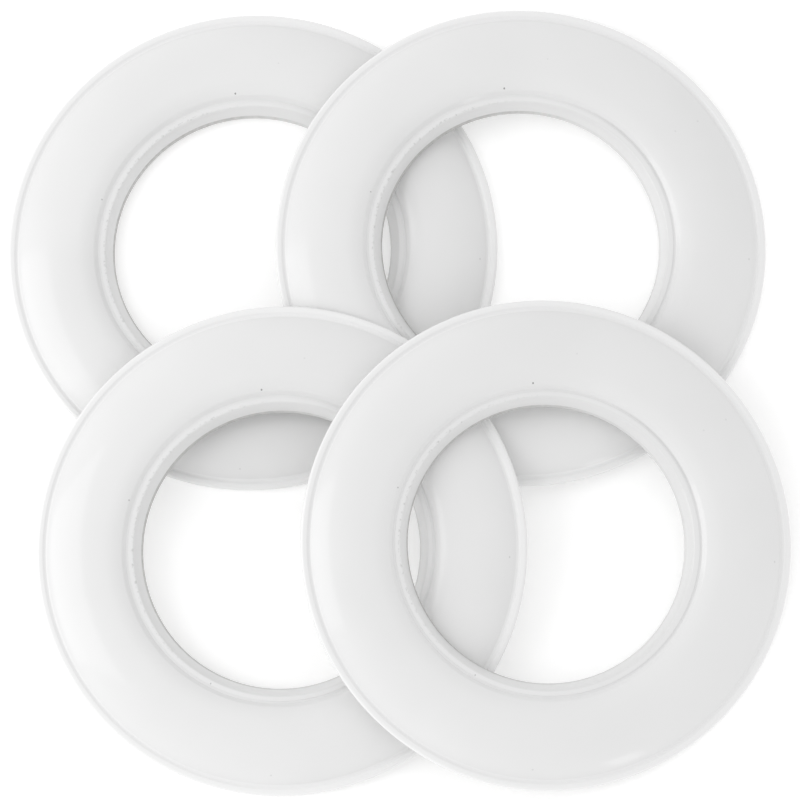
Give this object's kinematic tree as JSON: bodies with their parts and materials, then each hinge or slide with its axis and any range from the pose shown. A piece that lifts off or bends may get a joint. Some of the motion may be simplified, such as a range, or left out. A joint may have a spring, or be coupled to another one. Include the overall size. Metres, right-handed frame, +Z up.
{
  "type": "wheel cover set",
  "caption": "Open-centre wheel covers with a crowned band, a grooved inner lip and a rolled rim, stacked overlapping on a flat surface.",
  "frame": {"origin": "on the surface the set lies on, under the middle of its outline", "axes": "+Z up; +X to the right and -Y to the front as the set is laid out; the back left ring's axis is +Z"},
  "size_m": [0.5742, 0.5908, 0.0794],
  "materials": {
    "white_rubber": "glossy, moulded"
  },
  "bodies": {
    "back_left": {"back_left_ring": "white_rubber"},
    "back_right": {"back_right_ring": "white_rubber"},
    "front_left": {"front_left_ring": "white_rubber"},
    "front_right": {"front_right_ring": "white_rubber"}
  },
  "joints": [
    {"name": "lift_back_right", "type": "slide", "parent": "back_left", "child": "back_right", "axis": [0, 0, 1], "range_m": [0, 0.15]},
    {"name": "lift_front_left", "type": "slide", "parent": "back_right", "child": "front_left", "axis": [0, 0, 1], "range_m": [0, 0.15]},
    {"name": "lift_front_right", "type": "slide", "parent": "front_left", "child": "front_right", "axis": [0, 0, 1], "range_m": [0, 0.15]}
  ]
}
